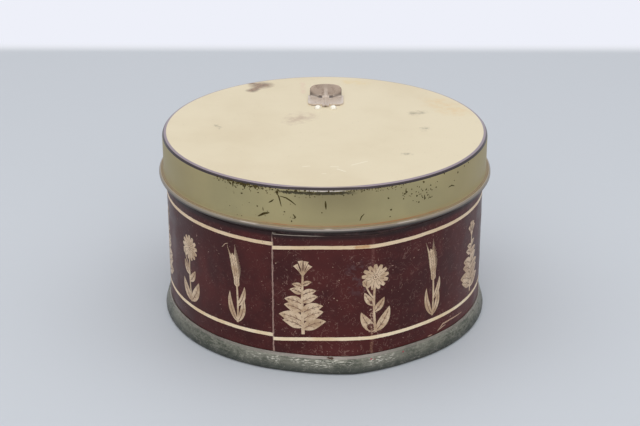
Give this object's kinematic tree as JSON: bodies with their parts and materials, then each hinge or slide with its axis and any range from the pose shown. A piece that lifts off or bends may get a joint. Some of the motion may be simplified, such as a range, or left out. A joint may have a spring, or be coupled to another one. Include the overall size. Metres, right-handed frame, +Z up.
{
  "type": "tobacco tin",
  "caption": "Round shut tobacco tin with a slip-on beaded lid, a steel cutter tab on top, a lapped paper label and a bare pressed base that it stands on.",
  "frame": {"origin": "middle of the foot ring's flat face, on the surface the tin stands on", "axes": "+Z up along the tin's axis, -Y towards the front with the label's lap just left of it, +X to the right"},
  "size_m": [0.1098, 0.1101, 0.0669],
  "materials": {
    "can_tinplate": "dull, tarnished",
    "printed_paper": "satin varnish, scratched",
    "bare_tinplate": "tarnished and mottled",
    "painted_lid": "worn enamel with bare rim and bead",
    "cutter_steel": "warm grey, tarnished",
    "stud_steel": "bright"
  },
  "bodies": {
    "root": {"body": "can_tinplate", "label": "printed_paper", "base": "bare_tinplate", "lid": "painted_lid", "cutter": "cutter_steel", "stud_left": "stud_steel", "stud_right": "stud_steel"}
  },
  "joints": []
}
